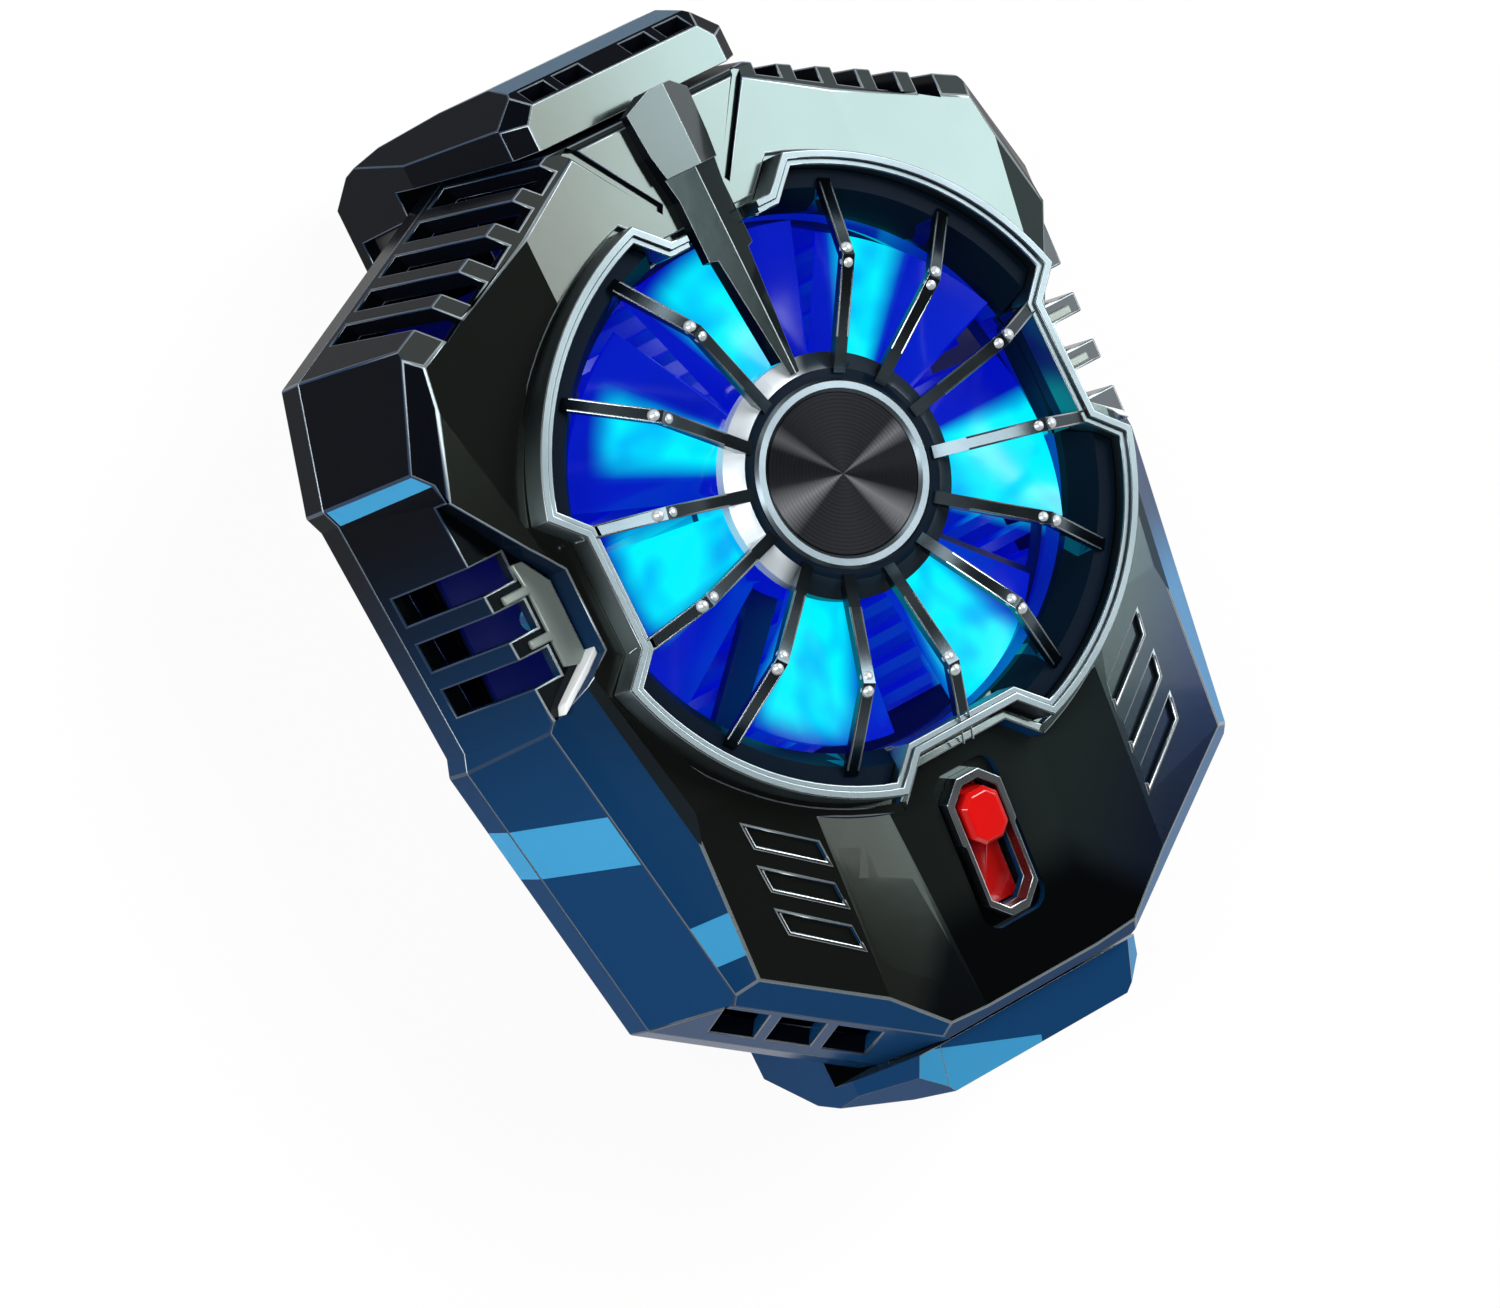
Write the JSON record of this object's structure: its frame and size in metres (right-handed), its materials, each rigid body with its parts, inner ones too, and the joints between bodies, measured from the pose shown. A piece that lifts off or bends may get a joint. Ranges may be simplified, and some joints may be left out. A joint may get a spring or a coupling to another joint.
{
  "type": "clip-on phone cooler",
  "caption": "Clip-on phone cooler with a guarded fan over a heat sink and cold plate, and two geared sprung clamp arms that grip a phone behind it.",
  "frame": {"origin": "on the plane of the two hook tips, under the middle of the overall length and width", "axes": "+X to the right seen from the fan side, +Y along the clamps towards the upper clamp, +Z out of the fan"},
  "size_m": [0.062, 0.0842, 0.0395],
  "materials": {
    "casing": "glossy dark gunmetal moulded plastic",
    "rear_casing": "fine satin black moulded plastic",
    "trim_metal": "polished silver plate",
    "guard_plastic": "glossy black moulded plastic",
    "blade_plastic": "polished dark metallic coating",
    "badge_metal": "spun black anodised face",
    "fan_plastic": "dark plastic lit blue from the rim",
    "magnet": "dark sintered magnet",
    "steel": "bright stamped steel",
    "screw_steel": "blackened steel",
    "bronze": "sintered bronze",
    "stator_copper": "enamelled copper winding",
    "frame_plastic": "satin black moulded plastic",
    "board": "green circuit board",
    "led_lens": "clear lens, lit blue",
    "light_guide": "frosted clear plastic lit blue and cyan",
    "sink_aluminium": "extruded aluminium",
    "ceramic": "white ceramic",
    "pad_silicone": "soft grey silicone",
    "clamp_plastic": "glossy dark gunmetal moulded plastic",
    "lining_silicone": "matt black silicone",
    "gear_plastic": "natural acetal",
    "chip": "black moulded resin",
    "switch_red": "glossy red moulded plastic",
    "bezel_plastic": "glossy dark moulded plastic"
  },
  "bodies": {
    "body": {"bearing_sleeve": "bronze", "board_components": "chip", "board_screws": "screw_steel", "case_screws": "screw_steel", "center_blade": "blade_plastic", "cold_plate": "sink_aluminium", "control_board": "board", "fan_frame": "frame_plastic", "fan_guard": "guard_plastic", "fan_screws": "screw_steel", "front_cover": "casing", "heat_sink": "sink_aluminium", "hub_cap": "badge_metal", "hub_ring": "trim_metal", "led_board": "board", "leds": "led_lens", "lower_light_guide": "light_guide", "motor_stator": "stator_copper", "peltier_module": "ceramic", "pinion_pin": "steel", "rear_cover": "rear_casing", "retainer_screws": "screw_steel", "slide_retainer_plate": "steel", "spring_post": "steel", "switch_bezel": "bezel_plastic", "switch_body": "steel", "thermal_pad": "pad_silicone", "trim_ring": "trim_metal", "upper_light_guide": "light_guide", "usb_shell": "steel", "usb_tongue": "chip"},
    "upper_clamp": {"upper_clamp_arm": "clamp_plastic", "upper_jaw_pad": "lining_silicone", "upper_spring": "steel"},
    "lower_clamp": {"lower_clamp_arm": "clamp_plastic", "lower_jaw_pad": "lining_silicone", "lower_spring": "steel"},
    "pinion_gear": {"pinion": "gear_plastic"},
    "fan_rotor": {"impeller": "fan_plastic", "rotor_magnet": "magnet", "rotor_shaft": "steel", "shaft_clip": "frame_plastic"},
    "switch_slider": {"switch_knob": "switch_red"}
  },
  "joints": [
    {"name": "upper_clamp_slide", "type": "slide", "parent": "body", "child": "upper_clamp", "axis": [0, 1, 0], "range_m": [0, 0.008], "stiffness_N_per_m": 600, "springref_m": -0.005, "deforming": ["upper_spring"]},
    {"name": "lower_clamp_slide", "type": "slide", "parent": "body", "child": "lower_clamp", "axis": [0, -1, 0], "range_m": [0, 0.008], "deforming": ["lower_spring"]},
    {"name": "pinion_spin", "type": "hinge", "parent": "body", "child": "pinion_gear", "pos_m": [0.0199, 0.00455, 0.01545], "axis": [0, 0, 1], "range_deg": [-184, 1]},
    {"name": "fan_spin", "type": "hinge", "parent": "body", "child": "fan_rotor", "pos_m": [0, 0.00455, 0.031], "axis": [0, 0, 1], "continuous": true},
    {"name": "switch_slide", "type": "slide", "parent": "body", "child": "switch_slider", "axis": [0, -0.9866, -0.1633], "range_m": [0, 0.0036]}
  ],
  "couplings": [
    {"joint": "lower_clamp_slide", "follows": "upper_clamp_slide", "ratio": 1},
    {"joint": "pinion_spin", "follows": "upper_clamp_slide", "rad_per_m": -400}
  ]
}
